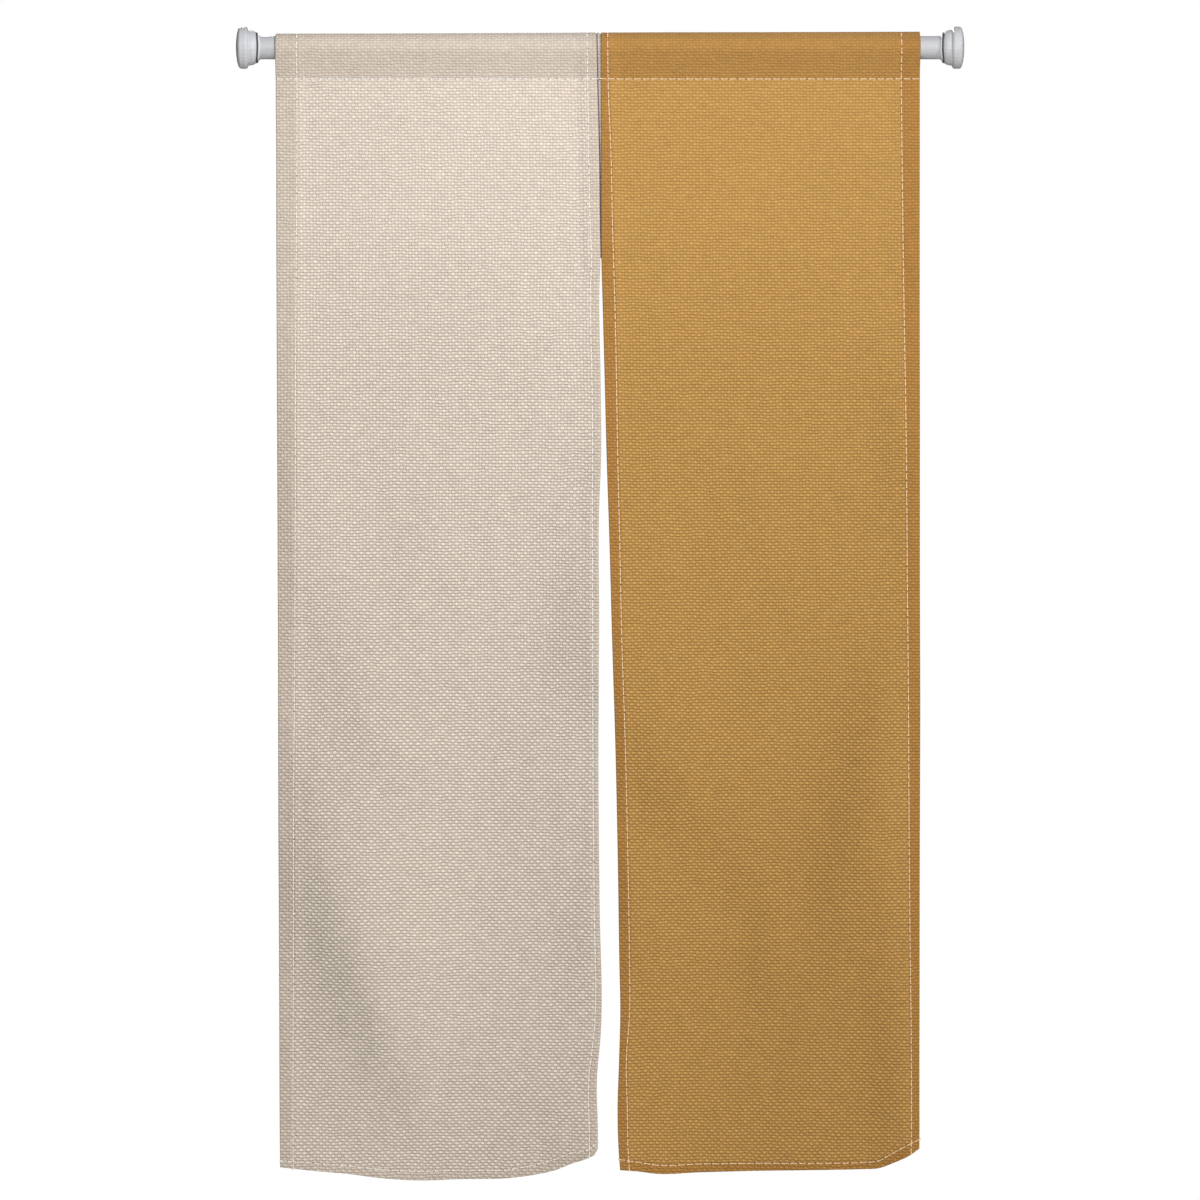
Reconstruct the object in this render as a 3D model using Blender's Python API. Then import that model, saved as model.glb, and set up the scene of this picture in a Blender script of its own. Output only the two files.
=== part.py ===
"""A noren: two cloth panels side by side, hung by the pocket at their top from a tension rod.

The origin is the middle of the left end cap's flat face, on the rod's axis. The rod runs along
+X to the right end cap, the cloth hangs down along -Z, and its front faces -Y. All in metres.
"""

import math
from typing import NamedTuple

import bpy
import numpy as np

# The rod and what is on it
ROD_SPAN = 0.960
TUBE_RADIUS = 0.01535
CAP_SOCKET_DEPTH = 0.008
SOCKET_ROOM = 0.0004
PIECE_GAP = 0.0003
ROUND_SIDES = 32

# The cloth
CLOTH = 0.0014
HEM_LAYER = 0.0010
STRIP_CLOTH = 0.0010
STRIP_ROOM = 0.0016
POCKET_DEPTH = 0.0414
POCKET_FLAP = 0.010
POCKET_ROOM = 0.0005
HALF_LAYER_GAP = 0.00015
HEM_EASE = 0.012
HEM_STEP = 0.0010

# How finely the cloth is drawn
PLAIN_COLUMNS = 20
ARC_STEPS = 14
DROP_ROWS = 52
STRIP_ROWS = 8

# The joined stretch, and where the strip's hold on the panels fades out
SEAM_END = -0.278
SEAM_FADE = 0.050


class Turn(NamedTuple):
    """One ring of points of a turned piece, and how far its front and back stand forward."""

    along: float
    radius: float
    bulge: float


class Section(NamedTuple):
    """A panel at one height: its side edges, and the widths of the hems beside them."""

    height: float
    left_edge: float
    left_hem: float
    right_hem: float
    right_edge: float


class Foot(NamedTuple):
    """A place along a panel's bottom edge: how low it hangs, and how deep its hem is."""

    across: float
    lowest: float
    hem: float


class Top(NamedTuple):
    """The height of the pocket's pressed top edge, above the rod's axis."""

    across: float
    height: float


class Fold(NamedTuple):
    """A soft ridge. Its crest runs down through three places, and its two flanks have their own widths."""

    top: tuple
    middle: tuple
    low: tuple
    left_flank: float
    right_flank: float
    rise: float


class Wave(NamedTuple):
    """The wide wave of a whole panel, which grows from the seam down to the hem."""

    reach: float
    length: float
    crest: float
    drift: float


class Curl(NamedTuple):
    """A bottom corner that swings forward."""

    corner_across: float
    width: float
    top_height: float
    reach: float


class Panel(NamedTuple):
    """All that shapes one panel. The strip lies behind its hem on the side that the sign gives."""

    sections: list
    feet: list
    tops: list
    folds: list
    wave: Wave
    curl: Curl
    strip_side: int


CAP = [
    Turn(0.0000, 0.0140, 0.0000),
    Turn(0.0010, 0.0205, 0.0000),
    Turn(0.0026, 0.0256, 0.0000),
    Turn(0.0044, 0.0274, 0.0000),
    Turn(0.0058, 0.0278, 0.0000),
    Turn(0.0122, 0.0278, 0.0006),
    Turn(0.0136, 0.0270, 0.0012),
    Turn(0.0145, 0.0252, 0.0018),
    Turn(0.0148, 0.0236, 0.0020),
    Turn(0.0185, 0.0234, 0.0021),
    Turn(0.0216, 0.0226, 0.0022),
    Turn(0.0240, 0.0213, 0.0023),
    Turn(0.0252, 0.0202, 0.0023),
    Turn(0.0252, TUBE_RADIUS + SOCKET_ROOM, 0.0023),
    Turn(CAP_SOCKET_DEPTH, TUBE_RADIUS + SOCKET_ROOM, 0.0000),
]
GRIP_RING = [
    Turn(0.0255, TUBE_RADIUS + SOCKET_ROOM, 0.0023),
    Turn(0.0255, 0.0200, 0.0023),
    Turn(0.0260, 0.0205, 0.0023),
    Turn(0.0268, 0.0205, 0.0023),
    Turn(0.0273, 0.0200, 0.0023),
    Turn(0.0273, TUBE_RADIUS + SOCKET_ROOM, 0.0023),
]
COLLAR = [
    Turn(0.0276, TUBE_RADIUS + SOCKET_ROOM, 0.0023),
    Turn(0.0276, 0.0174, 0.0023),
    Turn(0.0290, 0.0174, 0.0021),
    Turn(0.0295, 0.0169, 0.0020),
    Turn(0.0295, TUBE_RADIUS + SOCKET_ROOM, 0.0020),
]

LEFT_PANEL = Panel(
    sections=[
        Section(0.020, 0.0516, 0.0280, 0.0125, 0.4749),
        Section(-0.042, 0.0515, 0.0280, 0.0127, 0.4761),
        Section(-0.148, 0.0522, 0.0272, 0.0138, 0.4788),
        Section(-0.240, 0.0523, 0.0266, 0.0128, 0.4798),
        Section(-0.275, 0.0524, 0.0262, 0.0120, 0.4805),
        Section(-0.320, 0.0526, 0.0257, 0.0120, 0.4790),
        Section(-0.439, 0.0531, 0.0247, 0.0115, 0.4806),
        Section(-0.545, 0.0536, 0.0240, 0.0112, 0.4812),
        Section(-0.610, 0.0539, 0.0236, 0.0090, 0.4787),
        Section(-0.756, 0.0544, 0.0225, 0.0087, 0.4786),
        Section(-0.967, 0.0552, 0.0206, 0.0073, 0.4778),
        Section(-1.126, 0.0559, 0.0195, 0.0073, 0.4792),
        Section(-1.300, 0.0565, 0.0182, 0.0090, 0.4809),
        Section(-1.365, 0.0567, 0.0178, 0.0110, 0.4757),
        Section(-1.430, 0.0571, 0.0175, 0.0115, 0.4771),
        Section(-1.500, 0.0578, 0.0172, 0.0100, 0.4760),
    ],
    feet=[
        Foot(0.0577, -1.4785, 0.0088),
        Foot(0.1046, -1.4834, 0.0100),
        Foot(0.1469, -1.4874, 0.0105),
        Foot(0.1892, -1.4930, 0.0115),
        Foot(0.2315, -1.4965, 0.0121),
        Foot(0.2949, -1.4951, 0.0120),
        Foot(0.3583, -1.4937, 0.0112),
        Foot(0.3900, -1.4895, 0.0130),
        Foot(0.4217, -1.4821, 0.0145),
        Foot(0.4428, -1.4731, 0.0140),
        Foot(0.4640, -1.4654, 0.0110),
        Foot(0.4735, -1.4590, 0.0110),
        Foot(0.4768, -1.4520, 0.0105),
    ],
    tops=[
        Top(0.050, 0.0186),
        Top(0.200, 0.0188),
        Top(0.380, 0.0195),
        Top(0.478, 0.0200),
    ],
    folds=[
        Fold((0.0650, -0.780), (0.1800, -1.210), (0.3350, -1.540), 0.064, 0.150, 0.0235),
        Fold((0.0950, -0.600), (0.1400, -0.790), (0.2200, -0.970), 0.035, 0.090, 0.0032),
        Fold((0.1100, -0.800), (0.2150, -0.920), (0.3300, -1.030), 0.045, 0.100, 0.0042),
        Fold((0.5200, -0.400), (0.4750, -0.740), (0.4920, -0.900), 0.048, 0.030, 0.0145),
        Fold((0.4950, -0.980), (0.4680, -1.150), (0.4560, -1.330), 0.028, 0.060, 0.0055),
        Fold((0.0800, -0.280), (0.0800, -0.580), (0.0850, -0.860), 0.022, 0.060, 0.0055),
    ],
    wave=Wave(reach=0.0050, length=0.400, crest=0.190, drift=0.060),
    curl=Curl(corner_across=0.4770, width=0.085, top_height=-1.345, reach=0.008),
    strip_side=1,
)

RIGHT_PANEL = Panel(
    sections=[
        Section(0.020, 0.4809, 0.0089, 0.0250, 0.9022),
        Section(-0.042, 0.4810, 0.0094, 0.0246, 0.9022),
        Section(-0.148, 0.4812, 0.0133, 0.0235, 0.9022),
        Section(-0.234, 0.4813, 0.0149, 0.0224, 0.9021),
        Section(-0.278, 0.4816, 0.0160, 0.0218, 0.9021),
        Section(-0.333, 0.4831, 0.0162, 0.0210, 0.9021),
        Section(-0.439, 0.4860, 0.0155, 0.0195, 0.9020),
        Section(-0.545, 0.4887, 0.0145, 0.0182, 0.9019),
        Section(-0.650, 0.4922, 0.0135, 0.0171, 0.9019),
        Section(-0.777, 0.4956, 0.0128, 0.0163, 0.9018),
        Section(-0.915, 0.4999, 0.0130, 0.0157, 0.9017),
        Section(-1.073, 0.5033, 0.0132, 0.0145, 0.9016),
        Section(-1.205, 0.5053, 0.0133, 0.0130, 0.9015),
        Section(-1.275, 0.5066, 0.0122, 0.0120, 0.9014),
        Section(-1.337, 0.5050, 0.0095, 0.0114, 0.9013),
        Section(-1.403, 0.5030, 0.0128, 0.0112, 0.9012),
        Section(-1.456, 0.5044, 0.0124, 0.0112, 0.9010),
        Section(-1.500, 0.5080, 0.0118, 0.0110, 0.9005),
    ],
    feet=[
        Foot(0.5070, -1.4825, 0.0141),
        Foot(0.5300, -1.4846, 0.0125),
        Foot(0.5512, -1.4877, 0.0118),
        Foot(0.6146, -1.4863, 0.0110),
        Foot(0.6992, -1.4838, 0.0100),
        Foot(0.7837, -1.4817, 0.0088),
        Foot(0.8260, -1.4807, 0.0090),
        Foot(0.8471, -1.4794, 0.0100),
        Foot(0.8682, -1.4712, 0.0140),
        Foot(0.8894, -1.4607, 0.0150),
        Foot(0.9008, -1.4530, 0.0125),
    ],
    tops=[
        Top(0.480, 0.0200),
        Top(0.520, 0.0202),
        Top(0.700, 0.0206),
        Top(0.904, 0.0212),
    ],
    folds=[
        Fold((0.4700, -0.670), (0.5850, -0.940), (0.7400, -1.130), 0.060, 0.120, 0.0125),
        Fold((0.9150, -0.560), (0.8500, -0.985), (0.7600, -1.330), 0.056, 0.060, 0.0215),
        Fold((0.8780, -0.960), (0.8780, -1.300), (0.8820, -1.680), 0.040, 0.024, 0.0160),
        Fold((0.7220, -1.070), (0.7060, -1.180), (0.6940, -1.290), 0.024, 0.045, 0.0060),
        Fold((0.8820, -0.300), (0.8820, -0.520), (0.8860, -0.740), 0.036, 0.030, 0.0095),
        Fold((0.5150, -0.980), (0.5280, -1.130), (0.5280, -1.280), 0.022, 0.060, 0.0050),
    ],
    wave=Wave(reach=0.0060, length=0.360, crest=0.560, drift=0.080),
    curl=Curl(corner_across=0.9010, width=0.055, top_height=-1.330, reach=0.006),
    strip_side=-1,
)

# The joining strip's side edges at the rod, and at its lower end
STRIP_TOP_EDGES = (0.4610, 0.4935)
STRIP_LOW_EDGES = (0.4640, 0.5005)

# Where the wide waves start and reach their full size, and where the pressed top edge ends
WAVE_TOP = -0.300
WAVE_FULL = -1.250
CURL_FULL = -1.470
CROWN_HALF_ANGLE = math.radians(45)

# How many straight steps a fold's crest is followed in
FOLD_STEPS = 16


def clear_scene():
    """Start from an empty scene."""
    for thing in list(bpy.data.objects):
        bpy.data.objects.remove(thing, do_unlink=True)


def linear(red, green, blue):
    """A colour as seen on a screen, 0 to 255, as the linear values that a shader takes."""
    shares = np.array([red, green, blue]) / 255
    light = np.where(shares <= 0.04045, shares / 12.92, ((shares + 0.055) / 1.055) ** 2.4)
    return (*light.tolist(), 1.0)


def finish(name, colour, roughness, metallic):
    """A plain material."""
    material = bpy.data.materials.new(name)
    material.use_nodes = True
    shader = material.node_tree.nodes["Principled BSDF"]
    shader.inputs["Base Color"].default_value = linear(*colour)
    shader.inputs["Roughness"].default_value = roughness
    shader.inputs["Metallic"].default_value = metallic
    return material


def add_object(name, points, faces, material, smooth_angle):
    """Make a mesh object from its points and faces, with its own material."""
    mesh = bpy.data.meshes.new(name)
    mesh.from_pydata(points, [], faces)
    mesh.materials.append(material)
    mesh.shade_smooth()
    mesh.set_sharp_from_angle(angle=math.radians(smooth_angle))
    thing = bpy.data.objects.new(name, mesh)
    bpy.context.collection.objects.link(thing)
    return thing


def eased(value, start, end):
    """0 at start and 1 at end, with a soft step between them."""
    share = np.clip((value - start) / (end - start), 0, 1)
    return share * share * (3 - 2 * share)


def column(rows, name):
    """One named column of a table."""
    return np.array([getattr(row, name) for row in rows])


def along_curve(places, values, at):
    """Read a smooth curve through the table's values at other places."""
    order = np.argsort(places)
    places = places[order]
    values = values[order]
    slopes = np.gradient(values, places)
    first = np.clip(np.searchsorted(places, at) - 1, 0, len(places) - 2)
    step = places[first + 1] - places[first]
    t = np.clip((at - places[first]) / step, 0, 1)
    start = values[first] * (1 + 2 * t) * (1 - t) ** 2 + slopes[first] * step * t * (1 - t) ** 2
    end = values[first + 1] * t**2 * (3 - 2 * t) - slopes[first + 1] * step * t**2 * (1 - t)
    return start + end


def turned(name, profile, from_right, material, closed_ring):
    """Turn a profile about the rod's axis. Without closed_ring its two ends are closed by discs."""
    points = []
    for turn in profile:
        for side in range(ROUND_SIDES):
            angle = 2 * math.pi * side / ROUND_SIDES
            forward = turn.bulge * math.cos(angle) ** 2
            x = turn.along + forward
            points.append((x, turn.radius * math.cos(angle), turn.radius * math.sin(angle)))
    rings = len(profile)
    faces = []
    for ring in range(rings if closed_ring else rings - 1):
        near = ring * ROUND_SIDES
        far = (ring + 1) % rings * ROUND_SIDES
        for side in range(ROUND_SIDES):
            after = (side + 1) % ROUND_SIDES
            faces.append((near + side, far + side, far + after, near + after))
    if not closed_ring:
        last = (rings - 1) * ROUND_SIDES
        faces.append(tuple(range(ROUND_SIDES)))
        faces.append(tuple(last + side for side in reversed(range(ROUND_SIDES))))
    if from_right:
        points = [(ROD_SPAN - x, y, z) for x, y, z in points]
    else:
        faces = [tuple(reversed(face)) for face in faces]
    return add_object(name, points, faces, material, smooth_angle=35)


def tube(name, material):
    """The rod's tube, whose ends stand in the caps' sockets."""
    start = CAP_SOCKET_DEPTH + PIECE_GAP
    profile = [Turn(start, TUBE_RADIUS, 0), Turn(ROD_SPAN - start, TUBE_RADIUS, 0)]
    return turned(name, profile, False, material, closed_ring=False)


def pocket_line(radius, layer_place, crown):
    """The middle of the cloth from the flap's end, up behind the rod and over it, to the stitching.

    layer_place is how far each of the two layers hangs from the rod's axis at the stitching.
    """
    reach = math.hypot(layer_place, POCKET_DEPTH)
    from_below = math.acos(radius / reach) + math.atan2(layer_place, POCKET_DEPTH)
    side_angle = math.pi - from_below
    line = [(layer_place, -POCKET_DEPTH - POCKET_FLAP), (layer_place, -POCKET_DEPTH)]
    for angle in np.linspace(side_angle, -side_angle, ARC_STEPS + 1):
        raised = math.cos(min(abs(angle), CROWN_HALF_ANGLE) / CROWN_HALF_ANGLE * math.pi / 2) ** 2
        away = radius + crown * raised
        line.append((away * math.sin(angle), away * math.cos(angle)))
    line.append((-layer_place, -POCKET_DEPTH))
    return np.array(line)


def outward(line):
    """For each point of a line that runs over the rod to the front, the step that keeps a layer even."""
    runs = np.diff(line, axis=0)
    runs /= np.linalg.norm(runs, axis=1)[:, None]
    sides = np.column_stack([-runs[:, 1], runs[:, 0]]) * -1
    before = np.vstack([sides[:1], sides])
    after = np.vstack([sides, [[-1.0, 0.0]]])
    middle = before + after
    middle /= np.linalg.norm(middle, axis=1)[:, None]
    return middle / np.sum(middle * after, axis=1)[:, None]


def sheet_solid(name, outer, inner, material):
    """Close the space between two grids of points, the cloth's outer and its inner side."""
    rows, columns = outer.shape[:2]
    count = rows * columns
    points = [tuple(point) for point in np.vstack([outer.reshape(-1, 3), inner.reshape(-1, 3)])]
    faces = []
    for row in range(rows - 1):
        for place in range(columns - 1):
            a = row * columns + place
            b = a + 1
            c = b + columns
            d = a + columns
            faces.append((a, d, c, b))
            faces.append((a + count, b + count, c + count, d + count))
    rim = [place for place in range(columns)]
    rim += [row * columns + columns - 1 for row in range(1, rows)]
    rim += [(rows - 1) * columns + place for place in reversed(range(columns - 1))]
    rim += [row * columns for row in reversed(range(1, rows - 1))]
    for here, after in zip(rim, rim[1:] + rim[:1]):
        faces.append((here, after, after + count, here + count))
    return add_object(name, points, faces, material, smooth_angle=40)


def ridge(fold, across, height):
    """How far a fold lifts the cloth at each place. The fold fades out towards both its ends."""
    t = np.linspace(0, 1, FOLD_STEPS + 1)[:, None]
    top, middle, low = np.array(fold.top), np.array(fold.middle), np.array(fold.low)
    crest = top * (1 - t) * (1 - 2 * t) + middle * 4 * t * (1 - t) + low * t * (2 * t - 1)
    nearest = np.full(across.shape, np.inf)
    lift = np.zeros(across.shape)
    for step in range(FOLD_STEPS):
        run = crest[step + 1] - crest[step]
        off = np.stack([across - crest[step][0], height - crest[step][1]], axis=-1)
        share = np.clip(off @ run / (run @ run), 0, 1)
        apart = off - share[..., None] * run
        distance = np.linalg.norm(apart, axis=-1)
        to_right = apart[..., 0] * -run[1] + apart[..., 1] * run[0] > 0
        flank = np.where(to_right, fold.right_flank, fold.left_flank)
        fade = np.sin(math.pi * (step + share) / FOLD_STEPS) ** 2
        here = fold.rise * fade * np.exp(-((distance / flank) ** 2))
        lift = np.where(distance < nearest, here, lift)
        nearest = np.minimum(nearest, distance)
    return lift


def fold_depth(panel, across, height):
    """How far behind the flat hang of the panel the cloth lies at each place."""
    depth = np.zeros(across.shape)
    for fold in panel.folds:
        depth -= ridge(fold, across, height)
    wave = panel.wave
    turn = 2 * math.pi * (across - wave.crest - wave.drift * height) / wave.length
    depth -= wave.reach * eased(height, WAVE_TOP, WAVE_FULL) * np.cos(turn)
    curl = panel.curl
    beside = eased(across, curl.corner_across - curl.width, curl.corner_across)
    depth -= curl.reach * beside * eased(height, curl.top_height, CURL_FULL)
    return depth


def column_places(panel, height, plain_columns):
    """The columns' places across the panel at each height: edge, hem, plain cloth, hem, edge."""
    heights = column(panel.sections, "height")
    edges = {}
    for name in ("left_edge", "left_hem", "right_hem", "right_edge"):
        edges[name] = along_curve(heights, column(panel.sections, name), height)
    left = edges["left_edge"] + edges["left_hem"]
    right = edges["right_edge"] - edges["right_hem"]
    shares = np.linspace(0, 1, plain_columns)
    plain = (left + HEM_STEP)[..., None] * (1 - shares) + (right - HEM_STEP)[..., None] * shares
    return np.concatenate(
        [
            edges["left_edge"][..., None],
            left[..., None],
            plain,
            right[..., None],
            edges["right_edge"][..., None],
        ],
        axis=-1,
    )


def hem_shift(panel, across):
    """How far the outer layer stands off at each column, over its hems and over the strip."""
    left_hem = across[1]
    right_hem = across[-2]
    hems = eased(across, left_hem + HEM_EASE, left_hem) + eased(across, right_hem - HEM_EASE, right_hem)
    if panel.strip_side > 0:
        strip = eased(across, STRIP_TOP_EDGES[0] - HEM_EASE, STRIP_TOP_EDGES[0])
    else:
        strip = eased(across, STRIP_TOP_EDGES[1] + HEM_EASE, STRIP_TOP_EDGES[1])
    return HEM_LAYER * hems, STRIP_ROOM * strip


def panel_solid(name, panel, material):
    """One panel: the flap and the pocket round the rod, and the drop down to its hem."""
    at_stitching = column_places(panel, np.array([-POCKET_DEPTH]), PLAIN_COLUMNS)[0]
    hems, strip = hem_shift(panel, at_stitching)
    tops = along_curve(column(panel.tops, "across"), column(panel.tops, "height"), at_stitching)
    at_foot = column_places(panel, np.array([panel.feet[0].lowest]), PLAIN_COLUMNS)[0]
    foot_places = column(panel.feet, "across")
    lowest = along_curve(foot_places, column(panel.feet, "lowest"), at_foot)
    bottom_hem = along_curve(foot_places, column(panel.feet, "hem"), at_foot)

    outer = []
    inner = []
    for place in range(len(at_stitching)):
        layer = CLOTH / 2 + hems[place] + strip[place] + HALF_LAYER_GAP
        radius = TUBE_RADIUS + POCKET_ROOM + HEM_LAYER + CLOTH / 2 + strip[place]
        crown = max(tops[place] - radius - CLOTH / 2, 0)
        pocket = pocket_line(radius, layer, crown)
        hem_top = lowest[place] + bottom_hem[place]
        heights = np.linspace(-POCKET_DEPTH, hem_top + HEM_STEP, DROP_ROWS)[1:]
        heights = np.concatenate([heights, [hem_top, lowest[place]]])
        fading = strip[place] * eased(heights, SEAM_END - SEAM_FADE, SEAM_END)
        drop = np.column_stack([-(layer - strip[place] + fading), heights])
        line = np.vstack([pocket, drop])
        step = outward(pocket)
        step = np.vstack([step, np.tile([-1.0, 0.0], (len(drop), 1))])

        heights = line[:, 1]
        across = column_places(panel, heights, PLAIN_COLUMNS)[:, place]
        hanging = np.arange(len(line)) >= len(pocket)
        depth = np.where(hanging, fold_depth(panel, across, heights), 0)
        in_side_hem = place < 2 or place >= len(at_stitching) - 2
        in_bottom_hem = np.arange(len(line)) >= len(line) - 2
        extra = np.where(in_side_hem | in_bottom_hem, HEM_LAYER, 0)
        front = line + step * CLOTH / 2
        back = line - step * (CLOTH / 2 + extra)[:, None]
        outer.append(np.column_stack([across, front[:, 0] + depth, front[:, 1]]))
        inner.append(np.column_stack([across, back[:, 0] + depth, back[:, 1]]))
    outer = np.stack(outer, axis=1)
    inner = np.stack(inner, axis=1)
    return sheet_solid(name, outer, inner, material)


def strip_solid(name, material):
    """The strip behind the two inner hems, which joins the panels from the pocket to the seam's end."""
    layer = STRIP_CLOTH / 2 + HALF_LAYER_GAP
    radius = TUBE_RADIUS + POCKET_ROOM + STRIP_CLOTH / 2
    pocket = pocket_line(radius, layer, 0)
    heights = np.linspace(-POCKET_DEPTH, SEAM_END, STRIP_ROWS)[1:]
    line = np.vstack([pocket, np.column_stack([np.full(len(heights), -layer), heights])])
    step = np.vstack([outward(pocket), np.tile([-1.0, 0.0], (len(heights), 1))])
    fallen = eased(line[:, 1], 0, SEAM_END)
    sides = []
    for top, low in zip(STRIP_TOP_EDGES, STRIP_LOW_EDGES):
        sides.append(top + (low - top) * fallen)
    outer = []
    inner = []
    for across in sides:
        front = line + step * STRIP_CLOTH / 2
        back = line - step * STRIP_CLOTH / 2
        outer.append(np.column_stack([across, front]))
        inner.append(np.column_stack([across, back]))
    return sheet_solid(name, np.stack(outer, axis=1), np.stack(inner, axis=1), material)


def build():
    """Make every piece of the curtain."""
    clear_scene()
    beige = finish("beige_cloth", (211, 199, 186), 0.9, 0.0)
    beige_strip = finish("beige_strip_cloth", (206, 192, 178), 0.9, 0.0)
    mustard = finish("mustard_cloth", (182, 140, 79), 0.9, 0.0)
    grey_tube = finish("grey_tube", (203, 204, 208), 0.35, 0.6)
    grey_cap = finish("grey_cap", (200, 201, 204), 0.45, 0.0)
    dark_rubber = finish("dark_rubber", (74, 75, 78), 0.7, 0.0)
    white_plastic = finish("white_plastic", (236, 236, 236), 0.5, 0.0)

    tube("rod_tube", grey_tube)
    for side, from_right in (("left", False), ("right", True)):
        turned(f"{side}_end_cap", CAP, from_right, grey_cap, closed_ring=False)
        turned(f"{side}_grip_ring", GRIP_RING, from_right, dark_rubber, closed_ring=True)
        turned(f"{side}_collar", COLLAR, from_right, white_plastic, closed_ring=True)
    panel_solid("left_panel", LEFT_PANEL, beige)
    panel_solid("right_panel", RIGHT_PANEL, mustard)
    strip_solid("joining_strip", beige_strip)


build()
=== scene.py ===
import math
from typing import NamedTuple

import bmesh
import bpy
import numpy as np
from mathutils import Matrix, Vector, noise


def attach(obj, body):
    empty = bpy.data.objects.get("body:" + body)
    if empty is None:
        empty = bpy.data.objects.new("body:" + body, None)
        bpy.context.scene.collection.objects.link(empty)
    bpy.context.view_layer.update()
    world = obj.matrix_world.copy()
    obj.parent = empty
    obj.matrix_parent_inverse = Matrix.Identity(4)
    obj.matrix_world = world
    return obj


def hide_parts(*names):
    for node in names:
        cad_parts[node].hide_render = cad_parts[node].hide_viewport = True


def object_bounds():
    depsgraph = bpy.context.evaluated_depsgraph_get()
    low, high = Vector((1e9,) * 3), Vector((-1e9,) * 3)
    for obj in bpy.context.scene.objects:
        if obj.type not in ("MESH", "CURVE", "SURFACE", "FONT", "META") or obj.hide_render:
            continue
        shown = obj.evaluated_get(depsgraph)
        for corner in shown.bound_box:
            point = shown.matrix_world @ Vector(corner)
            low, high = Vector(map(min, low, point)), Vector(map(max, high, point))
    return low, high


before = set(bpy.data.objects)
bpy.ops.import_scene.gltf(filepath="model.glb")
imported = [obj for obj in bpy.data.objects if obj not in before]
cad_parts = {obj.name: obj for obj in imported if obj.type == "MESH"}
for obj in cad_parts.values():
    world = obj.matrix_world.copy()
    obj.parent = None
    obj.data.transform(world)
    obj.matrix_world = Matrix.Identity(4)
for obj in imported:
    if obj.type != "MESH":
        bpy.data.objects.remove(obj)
cad_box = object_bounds()

# The rod tube
# A plain steel tube, painted a satin light grey. It stands in the two end caps' sockets, and the
# curtain's pocket runs along it. Only its two ends show.
TUBE_GREY = (201, 202, 205)
TUBE_SHADE = (180, 181, 185)
TUBE_STREAKS = (9.0, 260.0)
TUBE_ROUGH = (0.48, 0.14)
PAINT_GRAIN = 900.0
PAINT_RELIEF = 0.00002


def linear(red, green, blue):
    """A colour as seen on a screen, 0 to 255, as the linear values that a shader takes."""
    shares = np.array([red, green, blue]) / 255
    light = np.where(shares <= 0.04045, shares / 12.92, ((shares + 0.055) / 1.055) ** 2.4)
    return (*light.tolist(), 1.0)


class Wire:
    """A number that runs through a finish. Sums, products and powers of wires add Math nodes."""

    def __init__(self, finish, socket):
        self.finish = finish
        self.socket = socket

    def math(self, operation, *others):
        """Add a Math node whose first value is this wire."""
        values = dict(enumerate((self, *others)))
        return self.finish.node("ShaderNodeMath", {"operation": operation}, values)["Value"]

    def turned(self, operation, other):
        """Add a Math node whose second value is this wire."""
        values = {0: other, 1: self}
        return self.finish.node("ShaderNodeMath", {"operation": operation}, values)["Value"]

    def __add__(self, other):
        return self.math("ADD", other)

    def __radd__(self, other):
        return self.turned("ADD", other)

    def __sub__(self, other):
        return self.math("SUBTRACT", other)

    def __rsub__(self, other):
        return self.turned("SUBTRACT", other)

    def __mul__(self, other):
        return self.math("MULTIPLY", other)

    def __rmul__(self, other):
        return self.turned("MULTIPLY", other)

    def __truediv__(self, other):
        return self.math("DIVIDE", other)

    def __rtruediv__(self, other):
        return self.turned("DIVIDE", other)

    def __pow__(self, other):
        return self.math("POWER", other)

    def __rpow__(self, other):
        return self.turned("POWER", other)

    def eased(self, start, end):
        """0 at start and 1 at end, with a soft step between them."""
        settings = {"interpolation_type": "SMOOTHSTEP"}
        values = {"Value": self, "From Min": start, "From Max": end}
        return self.finish.node("ShaderNodeMapRange", settings, values)["Result"]


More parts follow.
